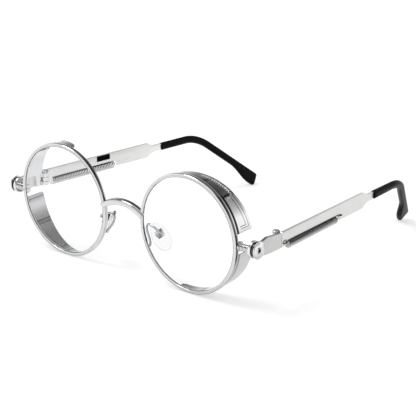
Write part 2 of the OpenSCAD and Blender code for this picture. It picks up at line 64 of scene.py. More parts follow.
# Plated rims
# Each rim is a grooved metal ring, plated and polished, slit at the temple side so that the lens
# can be laid in its groove. The front face carries one fine turned line.
RIM_IN, RIM_OUT, RIM_HALF = 23.75, 25.25, 1.0
LINE_IN, LINE_OUT, LINE_DEEP = 24.3, 24.56, 0.06
LENS_X = 35.2
FRONT = WHOLE @ Matrix.Rotation(math.radians(4), 4, "X")
AT_LENS = FRONT @ Matrix.Translation((LENS_X, 0, 0))
SIDES = {"right": Matrix(), "left": Matrix.Scale(-1, 4, (1, 0, 0))}


def fill(node, values):
    for name, value in values.items():
        node.inputs[name.replace("_", " ")].default_value = value
    return node


def shaded(tree, kind, **inputs):
    return fill(tree.nodes.new(kind), inputs)


def new_nodes(tree, *kinds):
    return [tree.nodes.new(kind) for kind in kinds]


# Links nodes, each time from a node's output to a node's input
def connect(tree, *links):
    for first, output, second, socket in links:
        tree.links.new(first.outputs[output], second.inputs[socket])


# A calculation of two or three terms, each a number or the output of a node
def maths(tree, operation, *terms):
    node = tree.nodes.new("ShaderNodeMath")
    node.operation = operation
    for socket, term in zip(node.inputs, terms):
        if isinstance(term, (int, float)):
            socket.default_value = term
        else:
            tree.links.new(term, socket)
    return node.outputs[0]


# A blend of two colours, each a plain colour or the output of a node
def mixed(tree, factor, first, second):
    node = tree.nodes.new("ShaderNodeMix")
    node.data_type = "RGBA"
    tree.links.new(factor, node.inputs["Factor"])
    for socket, term in (("A", first), ("B", second)):
        if isinstance(term, tuple):
            node.inputs[socket].default_value = (*term, 1)
        else:
            tree.links.new(term, node.inputs[socket])
    return node.outputs["Result"]


def new_group(name, kind, inputs, outputs):
    tree = bpy.data.node_groups.new(name, kind)
    for in_out, sockets in (("INPUT", inputs), ("OUTPUT", outputs)):
        for title, socket in sockets.items():
            tree.interface.new_socket(title, in_out=in_out, socket_type="NodeSocket" + socket)
    return tree


def new_finish(name, **sockets):
    material = bpy.data.materials.new(name)
    material.use_nodes = True
    surface = fill(material.node_tree.nodes["Principled BSDF"], sockets)
    return material, material.node_tree, surface


# Handling marks: fine cross polish, faint cloudy tone and a soft waviness, for all metal and plastic
def marks_group():
    group = new_group("handling_marks", "ShaderNodeTree",
                      {"Vector": "Vector", "Grain": "Float", "Stretch": "Vector", "Base Roughness": "Float",
                       "Spread": "Float", "Light": "Color", "Shade": "Color"},
                      {"Color": "Color", "Roughness": "Float", "Height": "Float"})
    entry, leave, stretch = new_nodes(group, "NodeGroupInput", "NodeGroupOutput", "ShaderNodeVectorMath")
    stretch.operation = "MULTIPLY"
    grain = shaded(group, "ShaderNodeTexNoise", Detail=3.0, Roughness=0.6)
    cloud = shaded(group, "ShaderNodeTexNoise", Scale=220.0, Detail=2.0)
    connect(group, (entry, "Vector", stretch, 0), (entry, "Stretch", stretch, 1), (stretch, 0, grain, "Vector"),
            (entry, "Grain", grain, "Scale"), (entry, "Vector", cloud, "Vector"), (grain, "Fac", leave, "Height"))
    spread = maths(group, "MULTIPLY_ADD", grain.outputs["Fac"], entry.outputs["Spread"],
                   entry.outputs["Base Roughness"])
    tone = mixed(group, cloud.outputs["Fac"], entry.outputs["Light"], entry.outputs["Shade"])
    group.links.new(tone, leave.inputs["Color"])
    group.links.new(spread, leave.inputs["Roughness"])
    return group


MARKS = marks_group()


def marked(name, light, shade, rough, spread, grain=9000.0, stretch=(1, 1, 1), bump=0.02, **sockets):
    material, tree, surface = new_finish(name, **sockets)
    where, marks = new_nodes(tree, "ShaderNodeTexCoord", "ShaderNodeGroup")
    marks.node_tree = MARKS
    connect(tree, (where, "Object", marks, "Vector"))
    fill(marks, {"Grain": grain, "Stretch": stretch, "Base Roughness": rough, "Spread": spread,
                 "Light": (*light, 1), "Shade": (*shade, 1)})
    lines = shaded(tree, "ShaderNodeBump", Strength=bump, Distance=0.02 * MM)
    connect(tree, (marks, "Color", surface, "Base Color"), (marks, "Roughness", surface, "Roughness"),
            (marks, "Height", lines, "Height"), (lines, "Normal", surface, "Normal"))
    return material


# Paints shade into a finish: darkens it in its corners and grooves and wherever else the "tint" layer of the mesh
# says so
def darkened(material, colour=(0.035, 0.035, 0.037)):
    tree = material.node_tree
    surface, marks = tree.nodes["Principled BSDF"], tree.nodes["Group"]
    layer, parts = new_nodes(tree, "ShaderNodeUVMap", "ShaderNodeSeparateXYZ")
    layer.uv_map = "tint"
    connect(tree, (layer, 0, parts, 0))
    tone = mixed(tree, parts.outputs["X"], marks.outputs["Color"], colour)
    tree.links.new(tone, surface.inputs["Base Color"])
    return material


PLATED = darkened(marked("plated_polish", (0.82, 0.82, 0.83), (0.76, 0.76, 0.77), 0.06, 0.08, Metallic=1.0))


# Makes one mesh in metres. Edges of more than 30 degrees are rounded by the bevel, "along" and "tint"
# are its two layers, "tint" holding painted shade, and a face of many corners takes the one tint called flat.
def build(name, verts, faces, place, finish, sharp=32, bevel=0.0, uv=None, tint=None, flat=0.0):
    bm = bmesh.new()
    points = [bm.verts.new(place @ Vector(v)) for v in verts]
    layer = bm.loops.layers.uv.new("along") if uv else None
    for face in faces:
        made = bm.faces.new([points[i] for i in face])
        if uv:
            for loop, i in zip(made.loops, face):
                loop[layer].uv = uv[i]
    bmesh.ops.recalc_face_normals(bm, faces=bm.faces)
    if bevel:
        edges = [e for e in bm.edges if len(e.link_faces) == 2 and e.calc_face_angle(0) > math.radians(30)]
        bmesh.ops.bevel(bm, geom=edges, offset=bevel, segments=3, profile=0.6, affect="EDGES",
                        clamp_overlap=True)
    if tint:
        layer, home = bm.loops.layers.uv.new("tint"), place.inverted()
        values = {v: tint[i] if isinstance(tint, list) else tint(home @ v.co)
                  for i, v in enumerate(bm.verts)}
        for face in bm.faces:
            for loop in face.loops:
                loop[layer].uv = (flat if len(face.verts) > 8 else values[loop.vert], 0)
    bmesh.ops.scale(bm, vec=(MM, MM, MM), verts=bm.verts)
    mesh = bpy.data.meshes.new(name)
    bm.to_mesh(mesh)
    bm.free()
    home = place.inverted().to_3x3()
    smooth = [not bevel or (len(p.vertices) == 4 and abs((home @ p.normal).x) < 0.999) for p in mesh.polygons]
    mesh.polygons.foreach_set("use_smooth", smooth)
    mesh.set_sharp_from_angle(angle=math.radians(sharp))
    mesh.materials.append(finish)
    return mesh


def stand(name, mesh, body, slot, *nodes):
    piece = bpy.data.objects.new(name, mesh)
    bpy.context.scene.collection.objects.link(piece)
    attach(piece, body)
    if nodes:
        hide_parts(*nodes)


# Makes the piece on the right and its mirror image on the left. Each stands in for the node of its name,
# unless it is added on top.
def both(name, shape, place, finish, body="front", slot="polished_silver", added=False, **look):
    for side, flip in SIDES.items():
        mesh = build(f"{name}_{side}_look", *shape, flip @ place, finish, **look)
        nodes = [] if added else [f"{name}_{side}"]
        stand(f"{name}_{side}_look", mesh, body.format(side), slot, *nodes)


# Joins rings of as many points each into one skin, with its two ends closed
def loft(rings, caps=True):
    n = len(rings[0])
    verts = [v for ring in rings for v in ring]
    faces = [(i * n + k, i * n + (k + 1) % n, (i + 1) * n + (k + 1) % n, (i + 1) * n + k)
             for i in range(len(rings) - 1) for k in range(n)]
    if caps:
        faces += [tuple(range(n)), tuple((len(rings) - 1) * n + k for k in range(n))]
    return verts, faces


# Turns a closed outline of radius and depth about the lens axis, which is Y
def turned(outline, start=0.0, sweep=360.0, steps=288):
    whole = sweep >= 360
    angles = [math.radians(start + sweep * i / steps) for i in range(steps if whole else steps + 1)]
    rings = [[(r * math.cos(a), y, r * math.sin(a)) for r, y in outline] for a in angles]
    if whole:
        rings.append(rings[0])
        verts, faces = loft(rings, caps=False)
        n, last = len(outline), len(outline) * steps
        faces = [tuple(i - last if i >= last else i for i in f) for f in faces]
        return verts[:last], faces
    return loft(rings)


rim_outline = [(RIM_IN, -0.6), (RIM_IN + 0.03, -0.8), (RIM_IN + 0.12, -0.93), (RIM_IN + 0.3, -1.0),
               (LINE_IN, -RIM_HALF), (LINE_IN + LINE_DEEP, LINE_DEEP - RIM_HALF),
               (LINE_OUT - LINE_DEEP, LINE_DEEP - RIM_HALF), (LINE_OUT, -RIM_HALF), (RIM_OUT - 0.35, -1.0),
               (RIM_OUT - 0.14, -0.95), (RIM_OUT - 0.04, -0.84), (RIM_OUT, -0.68), (RIM_OUT, 0.2),
               (RIM_OUT, 0.35), (RIM_OUT, 0.68), (RIM_OUT - 0.04, 0.84), (RIM_OUT - 0.14, 0.95),
               (RIM_OUT - 0.35, 1.0), (RIM_IN + 0.3, 1.0), (RIM_IN + 0.1, 0.93), (RIM_IN, 0.78), (RIM_IN, 0.6),
               (RIM_IN + 0.68, 0.0)]


# Rises softly from 0 at low to 1 at high
def ramp(value, low, high):
    t = min(1, max(0, (value - low) / (high - low)))
    return t * t * (3 - 2 * t)


# Where the painted shade on the outer edge fades out: how much, and the degrees at which this comes and goes
SHADE_LIFTED = ((0.7, 46, 58, 110, 125), (0.75, 168, 174, 232, 246), (0.75, 300, 312, 338, 350))


# Painted shade: the lens edge and the turned line are dark, and so is the outer edge, but for three stretches
# where that shade fades out. The lower front bevel and the outer back edge are dark too, and the front face is
# shaded faintly.
def rim_painted_shade(v):
    r = math.hypot(v.x, v.z)
    if r < RIM_IN + 0.05 and abs(v.y) < 0.82:
        return 0.85
    if LINE_IN - 0.02 < r < LINE_OUT + 0.02 and v.y < -0.93:
        return 0.2
    if r > RIM_OUT - 0.1:
        at = math.degrees(math.atan2(v.z, v.x)) % 360
        faded = 1 - sum(much * ramp(at, a, b) * (1 - ramp(at, c, d)) for much, a, b, c, d in SHADE_LIFTED)
        return 0.88 * faded if -0.9 < v.y < 0.25 else 0.6 if v.y > 0.8 else 0.0
    if r > RIM_OUT - 0.2 and v.y < -0.9 and v.z < 0:
        return 0.8 * ramp(-v.z, 17, 21)
    return 0.12 if v.y < -0.99 else 0.0


both("rim", turned(rim_outline, start=0.24, sweep=359.52), AT_LENS, PLATED, tint=rim_painted_shade)


# Lenses
# Clear plano lenses, ground with a bevel that sits in the rim's groove. They are evenly curved
# and carry only a faint coating, so that they show by their edge and a soft reflection.
LENS_R, LENS_HALF, LENS_CURVE = 23.7, 0.9, 200
LENS_SAG = LENS_R ** 2 / 2 / LENS_CURVE
CLEAR, tree, surface = new_finish("clear_lens", Base_Color=(0.985, 0.99, 0.995, 1), Metallic=0.0,
                                  Roughness=0.0, IOR=1.36, Transmission_Weight=1.0)


# Carries a value that runs from low to high over to the range from first to last
def ranged(tree, value, low, high, first=0.0, last=1.0):
    node = shaded(tree, "ShaderNodeMapRange", From_Min=low, From_Max=high, To_Min=first, To_Max=last)
    tree.links.new(value, node.inputs["Value"])
    return node.outputs["Result"]


# Faint clouds that lie still on the piece
def clouded(tree, **inputs):
    where, cloud = tree.nodes.new("ShaderNodeTexCoord"), shaded(tree, "ShaderNodeTexNoise", **inputs)
    connect(tree, (where, "Object", cloud, "Vector"))
    return cloud.outputs["Fac"]


# The coating's rubbed spots, and a clear shadow
film = clouded(tree, Scale=160.0, Detail=4.0)
tree.links.new(ranged(tree, film, 0.62, 0.9, 0.0, 0.05), surface.inputs["Roughness"])
shadow, path, mix = new_nodes(tree, "ShaderNodeBsdfTransparent", "ShaderNodeLightPath", "ShaderNodeMixShader")
shadow.inputs["Color"].default_value = (0.96, 0.965, 0.97, 1)
connect(tree, (path, "Is Shadow Ray", mix, 0), (surface, 0, mix, 1), (shadow, 0, mix, 2),
        (mix, 0, tree.nodes["Material Output"], "Surface"))
rows = [0.002] + [i / 20 for i in range(1, 21)]
face = [(LENS_R * t, -LENS_HALF - LENS_SAG * (1 - t * t)) for t in rows]
rear = [(LENS_R * t, LENS_HALF - LENS_SAG * (1 - t * t)) for t in reversed(rows)]
bevelled = [(RIM_IN - 0.03, -0.6), (RIM_IN + 0.62, 0.0), (RIM_IN - 0.03, 0.6)]
both("lens", turned(face + bevelled + rear), AT_LENS, CLEAR, slot="clear_lens", sharp=40)


# Bridge
# A flat bar bent to an arch and brazed over the fronts of the two rims. It stands proud of them,
# its upper front edge is rolled over, and a fine line is cut along its face.
CREST, NOSE_GAP, ARCH_RISE, ARCH_STEPS = 6.3, 19.9, 3.1, 60
LINE_FLOOR = -1.76
foot = NOSE_GAP / 2 + 0.5
ARCH = (foot ** 2 + ARCH_RISE ** 2) / 2 / ARCH_RISE
bar = [(-1.25, -1.62), (-1.12, -1.76), (-0.9, -1.8), (0.2, -1.8), (0.26, LINE_FLOOR), (0.32, -1.8), (0.5, -1.79),
       (0.76, -1.7), (1.0, -1.5), (1.16, -1.2), (1.24, -0.85), (1.25, -0.3), (1.25, 0.6), (1.15, 0.76),
       (1.0, 0.8), (-1.0, 0.8), (-1.18, 0.74), (-1.25, 0.6)]
reach = math.degrees(math.asin(foot / ARCH)) + 3.2
rings = []
for i in range(ARCH_STEPS + 1):
    a = math.radians(-reach + 2 * reach * i / ARCH_STEPS)
    rings.append([((ARCH + r) * math.sin(a), y, CREST - ARCH + (ARCH + r) * math.cos(a)) for r, y in bar])


# Painted shade: the rear half is darkest, the line and the rolled edge are darker than the flat face, and the flat
# face is shaded faintly
def bridge_painted_shade(v):
    if v.y > -0.4:
        return 0.6
    if abs(v.y - LINE_FLOOR) < 0.005:
        return 0.3
    return 0.36 if v.y > -1.75 else 0.12


stand("bridge_look", build("bridge_look", *loft(rings), FRONT, PLATED, tint=bridge_painted_shade),
      "front", "polished_silver", "bridge")


# Side shields
# Thin plate, rolled to the rim's curve and cut on a slant, so that it reaches furthest back at the
# temple. The upper one has a stepped panel near the temple and a darkened band with a row of studs.
SHIELD_OUT, SHIELD_T = 24.85, 0.7
SHALLOW, SLOPE = 5.0, 5.6 / SHIELD_OUT
NOSE_R, CORNER_R, LIP_OUT, LIP_IN = 2.4, 1.2, 0.12, 0.1
PRESSED, PRESS_SOFT, PRESS_LINE = 0.15, 0.08, 0.13
SHADE_LINE_AT, SHADE_LINE_WIDE = 37, 1.2


# The depth of the slanting rear edge at an angle, with its round nose end and its round corner
def shield_rear(a, first, last):
    x, z = SHIELD_OUT * math.cos(a), SHIELD_OUT * math.sin(a)
    edge = SHALLOW + SLOPE * x
    tilt = math.atan(SLOPE)
    cx = SHIELD_OUT * math.cos(last) + NOSE_R
    if x < cx - NOSE_R * math.sin(tilt):
        edge = SHALLOW + SLOPE * cx - NOSE_R / math.cos(tilt) + math.sqrt(max(0, NOSE_R ** 2 - (x - cx) ** 2))
    low = SHIELD_OUT * math.sin(first)
    if z < low + CORNER_R:
        edge -= CORNER_R - math.sqrt(max(0, CORNER_R ** 2 - (z - low - CORNER_R) ** 2))
    return edge


# How deep the stepped panel is at an angle and a depth, and how dark the painted shade on its border lines is
def panel_press(a, depth, steps):
    gap = SHALLOW + SLOPE * SHIELD_OUT * math.cos(a) - depth
    press = line = 0
    for inset, front, low, high in steps:
        inside = min(gap - inset, depth - front, (a - math.radians(low)) * SHIELD_OUT,
                     (math.radians(high) - a) * SHIELD_OUT)
        press += PRESSED * ramp(inside, -PRESS_SOFT, PRESS_SOFT)
        line = max(line, math.exp(-(inside / PRESS_LINE) ** 2))
    return press, line


# A shield from one angle to another. Its tints are painted shade: dark in the corner along the rim, on the panel's
# lines and ledge and on the rear edge; the value called inside darkens its inner face, which also carries one
# painted dark line.
def shield(name, first, last, flip, finish, steps, columns, rows, corner, inside):
    first, last = math.radians(first), math.radians(last)
    outer, inner, uv, dark, under_dark = [], [], [], [], []
    for i in range(columns + 1):
        a = first + (last - first) * i / columns
        at = math.degrees(a)
        rear = shield_rear(a, first, last)
        # A painted dark line on the inner face
        shade_line = math.exp(-((at - SHADE_LINE_AT) / SHADE_LINE_WIDE) ** 2) if inside else 0
        for j in range(rows + 1):
            depth = RIM_HALF + (rear - RIM_HALF) * j / rows
            press, line = panel_press(a, depth, steps)
            lip = min(j, rows - j, 2 * i, 2 * (columns - i)) == 0
            for skin, r in ((outer, SHIELD_OUT - press - (LIP_OUT if lip else 0)),
                            (inner, SHIELD_OUT - SHIELD_T + (LIP_IN if lip else 0))):
                skin.append((r * math.cos(a), depth, r * math.sin(a)))
            uv.append((at / 100, (rear - depth) / 10))
            # Painted shadow along the panel's ledge, and painted shade in the corner along the rim
            ledge = ramp(at, 46.3, 46.7) * (1 - ramp(at, 48.4, 49.0)) * ramp(depth, 2.7, 3.1) \
                * (1 - ramp(rear - depth, 2.6, 2.2))
            cornered = corner * (1 - 0.7 * ramp(at, 47, 58)) * (1 - ramp(depth, 2.35, 2.6))
            dark.append(max(0.6 * line, cornered, 0.6 if lip and j == rows else 0, ledge if steps else 0))
            under_dark.append(max(shade_line, inside * (1 - 0.8 * ramp(at, 34, 60))))
    n = rows + 1
    verts = outer + inner
    half = len(outer)
    faces = []
    for i in range(columns):
        for j in range(rows):
            a, b, c, d = i * n + j, i * n + j + 1, (i + 1) * n + j + 1, (i + 1) * n + j
            faces += [(a, b, c, d), (half + d, half + c, half + b, half + a)]
        faces += [(i * n, (i + 1) * n, half + (i + 1) * n, half + i * n),
                  (i * n + rows, half + i * n + rows, half + (i + 1) * n + rows, (i + 1) * n + rows)]
    for j in range(rows):
        for i in (0, columns):
            faces.append((i * n + j, i * n + j + 1, half + i * n + j + 1, half + i * n + j))
    both(name, (verts, faces), AT_LENS @ flip, finish, uv=uv + uv, sharp=50, tint=dark + under_dark)


# The upper shield's plating, with a blackened band whose zigzag and border lines are rubbed bright. In the
# "along" layer the angle counts in hundreds of degrees, and the way in from the rear edge in centimetres.
BAND_FROM, BAND_TO, BAND_SOFT = 0.486, 1.2, 0.008
ZIGS, ZIG_TALL, ZIG_IN, ZIG_HALF = 43.0, 0.2, 0.125, 0.022
BORDERS = ((0.06, 0.068), (0.27, 0.278))
BANDED = darkened(marked("banded_plate", (0.82, 0.82, 0.83), (0.76, 0.76, 0.77), 0.06, 0.08, Metallic=1.0))
tree = BANDED.node_tree
surface, bare, bare_marks = tree.nodes["Principled BSDF"], tree.nodes["Mix"], tree.nodes["Group"]
along_layer, parts = new_nodes(tree, "ShaderNodeUVMap", "ShaderNodeSeparateXYZ")
along_layer.uv_map = "along"
connect(tree, (along_layer, 0, parts, 0))


# One from low to high and nought outside, with soft ends
def between(tree, value, low, high, soft):
    return maths(tree, "MULTIPLY", ranged(tree, value, low - soft, low + soft),
                 ranged(tree, value, high - soft, high + soft, 1.0, 0.0))


angle, edge = parts.outputs["X"], parts.outputs["Y"]
zig = maths(tree, "PINGPONG", maths(tree, "MULTIPLY", angle, ZIGS), 0.5)
zigzag = maths(tree, "SUBTRACT", edge, maths(tree, "MULTIPLY_ADD", zig, ZIG_TALL, ZIG_IN))
zigzag = between(tree, zigzag, -ZIG_HALF, ZIG_HALF, 0.006)
fade = ranged(tree, angle, 0.52, 0.8, 0.78, 0.3)
band = maths(tree, "MULTIPLY", between(tree, angle, BAND_FROM, BAND_TO, BAND_SOFT), fade)
lines = maths(tree, "MAXIMUM", *(between(tree, edge, low, high, 0.004) for low, high in BORDERS))
bright = maths(tree, "MULTIPLY", maths(tree, "MAXIMUM", zigzag, maths(tree, "MULTIPLY", lines, 0.5)),
               between(tree, angle, 0.485, 0.8, 0.012))
dark = maths(tree, "MULTIPLY", band, maths(tree, "SUBTRACT", 1.0, bright))
rubbed = mixed(tree, bright, bare.outputs["Result"], (1, 1, 1))
tree.links.new(mixed(tree, dark, rubbed, (0.14, 0.14, 0.145)), surface.inputs["Base Color"])
frosted = maths(tree, "MULTIPLY_ADD", bright, 0.6, bare_marks.outputs["Roughness"])
tree.links.new(frosted, surface.inputs["Roughness"])
raised = shaded(tree, "ShaderNodeBump", Strength=0.6, Distance=0.12 * MM)
tree.links.new(bright, raised.inputs["Height"])
connect(tree, (tree.nodes["Bump"], "Normal", raised, "Normal"), (raised, "Normal", surface, "Normal"))

# Each step of the panel: its inset from the rear edge, its front depth, and its first and last degree
PANEL = [(1.6, 3.9, 14.5, 47), (3.0, 3.9, 16.5, 45)]
shield("upper_shield", 11, 103, Matrix(), BANDED, PANEL, columns=300, rows=72, corner=1.0, inside=0.0)
shield("lower_shield", 9, 104, Matrix.Scale(-1, 4, (0, 0, 1)), PLATED, [], columns=240, rows=36, corner=0.6,
       inside=0.35)


# Stud row
# A row of small four-sided studs stands along the upper shield's band, between its two border lines.
# They are struck from the plate and left frosted, so they stand out from the blackened ground.
FROSTED = marked("frosted_stud", (0.93, 0.93, 0.93), (0.86, 0.86, 0.86), 0.42, 0.12, Metallic=1.0)
STUDS, STUD_WIDE, STUD_HIGH, STUD_IN = 17, 0.42, 0.26, 1.4
ROW_R, ROW_FROM, ROW_SWEEP, ROW_STEPS = 24.82, 51, 28, 60


def socket_of(tree, name):
    return next(s.identifier for s in tree.interface.items_tree if s.name == name and s.in_out == "INPUT")


# Starts a tree that grows something on a line and has the named inputs besides its finish
def new_growth(name, **inputs):
    tree = new_group(name, "GeometryNodeTree", {"Geometry": "Geometry", **inputs, "Finish": "Material"},
                     {"Geometry": "Geometry"})
    return tree, tree.nodes.new("NodeGroupInput")


# Ends a tree: makes its copies real, gives them the finish and puts them out
def finish_growth(tree, entry, geometry):
    real, paint, leave = new_nodes(tree, "GeometryNodeRealizeInstances", "GeometryNodeSetMaterial",
                                   "NodeGroupOutput")
    tree.links.new(geometry, real.inputs["Geometry"])
    connect(tree, (real, "Geometry", paint, "Geometry"), (entry, "Finish", paint, "Material"),
            (paint, "Geometry", leave, "Geometry"))
    return tree


# Stands copies of a shape at even steps along the line
def row_along(tree, entry, shape, rotation=None):
    curve, even, place = new_nodes(tree, "GeometryNodeMeshToCurve", "GeometryNodeResampleCurve",
                                   "GeometryNodeInstanceOnPoints")
    connect(tree, (entry, "Geometry", curve, "Mesh"), (curve, "Curve", even, "Curve"),
            (entry, "Count", even, "Count"), (even, "Curve", place, "Points"))
    tree.links.new(shape, place.inputs["Instance"])
    if rotation is not None:
        tree.links.new(rotation, place.inputs["Rotation"])
    return finish_growth(tree, entry, place.outputs["Instances"])


# Four-sided cones that point away from the lens axis
def stud_tree():
    tree, entry = new_growth("stud_row", Count="Int", Width="Float", Height="Float")
    cone, spot, flat, aim = new_nodes(tree, "GeometryNodeMeshCone", "GeometryNodeInputPosition",
                                      "ShaderNodeVectorMath", "FunctionNodeAlignRotationToVector")
    cone.inputs["Vertices"].default_value = 4
    flat.operation = "MULTIPLY"
    flat.inputs[1].default_value = (1, 0, 1)
    aim.axis, aim.pivot_axis = "Z", "Y"
    connect(tree, (entry, "Width", cone, "Radius Bottom"), (entry, "Height", cone, "Depth"), (spot, 0, flat, 0),
            (flat, 0, aim, "Vector"))
    return row_along(tree, entry, cone.outputs["Mesh"], aim.outputs["Rotation"])


# Runs a node tree on a plain line of points and gives the result as a plain mesh
def grown(tree, line, **values):
    mesh = bpy.data.meshes.new("line")
    mesh.from_pydata(line, [(i, i + 1) for i in range(len(line) - 1)], [])
    carrier = bpy.data.objects.new("line", mesh)
    bpy.context.scene.collection.objects.link(carrier)
    modifier = carrier.modifiers.new("grow", "NODES")
    modifier.node_group = tree
    for name, value in values.items():
        modifier[socket_of(tree, name.replace("_", " "))] = value
    graph = bpy.context.evaluated_depsgraph_get()
    result = bpy.data.meshes.new_from_object(carrier.evaluated_get(graph))
    bpy.data.objects.remove(carrier)
    verts = [tuple(v.co) for v in result.vertices]
    faces = [tuple(p.vertices) for p in result.polygons]
    bpy.data.meshes.remove(result)
    return verts, faces


line = []
for i in range(ROW_STEPS + 1):
    a = math.radians(ROW_FROM + ROW_SWEEP * i / ROW_STEPS)
    depth = SHALLOW + SLOPE * SHIELD_OUT * math.cos(a) - STUD_IN
    line.append((ROW_R * math.cos(a), depth, ROW_R * math.sin(a)))
studs = grown(stud_tree(), line, Count=STUDS, Width=STUD_WIDE, Height=STUD_HIGH, Finish=FROSTED)
both("stud_row", studs, AT_LENS, FROSTED, added=True, sharp=20)


# Lens locks
# A plated split block is soldered behind each rim's slit. A small slotted screw from below closes it, and
# so holds the lens in.
SCREW = darkened(marked("turned_steel", (0.6, 0.6, 0.61), (0.46, 0.46, 0.47), 0.16, 0.15, Metallic=1.0))


def block(low, high):
    verts = [(x, y, z) for x in (low[0], high[0]) for y in (low[1], high[1]) for z in (low[2], high[2])]
    return verts, [(0, 1, 3, 2), (4, 6, 7, 5), (0, 4, 5, 1), (2, 3, 7, 6), (0, 2, 6, 4), (1, 5, 7, 3)]


# Puts shapes together in one mesh
def joined(*shapes):
    verts, faces = [], []
    for v, f in shapes:
        faces += [tuple(i + len(verts) for i in face) for face in f]
        verts += v
    return verts, faces


def moved(shape, matrix):
    return [tuple(matrix @ Vector(v)) for v in shape[0]], shape[1]


def circle(radius, steps):
    turns = [2 * math.pi * k / steps for k in range(steps)]
    return [(radius * math.cos(a), radius * math.sin(a)) for a in turns]


# A slotted screw head about Z with its shank below it: two half discs on a thin floor
def slotted(radius, height, slot, shank_r, shank_l):
    shapes = []
    for side in (1, -1):
        start = math.asin(slot / 2 / radius)
        turns = [start + (math.pi - 2 * start) * i / 16 for i in range(17)]
        arc = [(radius * math.cos(a), side * radius * math.sin(a)) for a in turns]
        low = [(x, y, height * 0.45) for x, y in arc]
        mid = [(x, y, height * 0.85) for x, y in arc]
        top = [(x * 0.86, (y - side * slot / 2) * 0.86 + side * slot / 2, height) for x, y in arc]
        shapes.append(loft([low, mid, top]))
    stack = [(shank_r, -shank_l), (shank_r, 0), (radius * 0.92, 0), (radius, height * 0.12),
             (radius, height * 0.5)]
    shapes.append(loft([[(r * x, r * y, z) for x, y in circle(1, 32)] for r, z in stack]))
    return joined(*shapes)


LOCK_X, LOCK_Y, LOCK_Z, LOCK_GAP = 0.9, 1.1, 1.6, 0.1
lock_place = AT_LENS @ Matrix.Translation((RIM_IN + LOCK_X, 2.1, 0))
shape = joined(block((-LOCK_X, -LOCK_Y, LOCK_GAP), (LOCK_X, LOCK_Y, LOCK_Z)),
               block((-LOCK_X, -LOCK_Y, -LOCK_Z), (LOCK_X, LOCK_Y, -LOCK_GAP)))
# The block carries a faint painted shade all over
both("lens_lock", shape, lock_place, PLATED, bevel=0.18, tint=lambda v: 0.1)
shape = moved(slotted(0.8, 0.5, 0.22, 0.4, 2 * LOCK_Z),
              Matrix.Translation((0, 0, -LOCK_Z)) @ Matrix.Rotation(math.pi, 4, "X"))
both("lock_screw", shape, lock_place, SCREW, slot="screw_steel")


# End bars
# A turned and plated bar with seven ribs is brazed to the side of each rim. It ends in a round collar
# with rounded edges, which carries the side plate.
HINGE_X, HINGE_Y, PLATE_REACH, KNOB_RISE = 65.53, 17.9, 15.2, 0.5
AT_ARM = WHOLE @ Matrix.Translation((HINGE_X, HINGE_Y, 0)) @ Matrix.Rotation(math.radians(1.5), 4, "X")
COLLAR_X, BAR_LEN, BAR_FRONT, BAR_UP = 65.65 - HINGE_X, 5.2, 0.8, 0.8
CORE_R, RIBS, RIB_R, RIB_T = 1.28, 7, 1.3, 0.24


# Turns a profile of distance and radius about the X axis
def spun(profile, steps):
    return loft([[(x, y, z) for y, z in circle(r, steps)] for x, r in profile])


# Rings about the X axis, each a small circle swept along a larger one
def rib_tree():
    tree, entry = new_growth("rib_row", Count="Int", Radius="Float", Thickness="Float")
    path, section, sweep, stand_up = new_nodes(tree, "GeometryNodeCurvePrimitiveCircle",
                                               "GeometryNodeCurvePrimitiveCircle", "GeometryNodeCurveToMesh",
                                               "GeometryNodeTransform")
    path.inputs["Resolution"].default_value = 48
    section.inputs["Resolution"].default_value = 12
    stand_up.inputs["Rotation"].default_value = (0, math.pi / 2, 0)
    connect(tree, (entry, "Radius", path, "Radius"), (entry, "Thickness", section, "Radius"),
            (path, "Curve", sweep, "Curve"), (section, "Curve", sweep, "Profile Curve"),
            (sweep, "Mesh", stand_up, "Geometry"))
    return row_along(tree, entry, stand_up.outputs["Geometry"])


bar_start = COLLAR_X - BAR_LEN
bar_place = Matrix.Translation((0, BAR_FRONT - HINGE_Y, BAR_UP))
core = moved(spun([(bar_start - 0.4, CORE_R), (COLLAR_X + 0.1, CORE_R)], 48), bar_place)
pitch = BAR_LEN / RIBS
row = [(bar_start + pitch * (i + 0.5), 0, 0) for i in range(RIBS)]
ribs = moved(grown(rib_tree(), row, Count=RIBS, Radius=RIB_R, Thickness=RIB_T, Finish=PLATED), bar_place)
AT_KNOB = Matrix.Translation((0, -PLATE_REACH, KNOB_RISE))
profile = [(COLLAR_X + x, r) for x, r in ((0.0, 3.1), (0.06, 3.35), (0.22, 3.54), (0.45, 3.6), (0.95, 3.6),
                                          (1.2, 3.54), (1.34, 3.38), (1.39, 3.1))]
collar = moved(spun(profile, 96), AT_KNOB)


# Painted shade: the roots of the ribs are dark, and so is the collar's face against the side plate; the end faces
# of the bar and collar take the flat tint
def bar_painted_shade(v):
    r = math.hypot(v.y - BAR_FRONT + HINGE_Y, v.z - BAR_UP)
    if v.x < COLLAR_X + 0.01:
        return 0.9 if r < 1.33 else 0.0
    return 0.8 if v.x > COLLAR_X + 1.36 else 0.0


both("end_bar", joined(core, ribs, collar), AT_ARM, PLATED, tint=bar_painted_shade, flat=0.6)


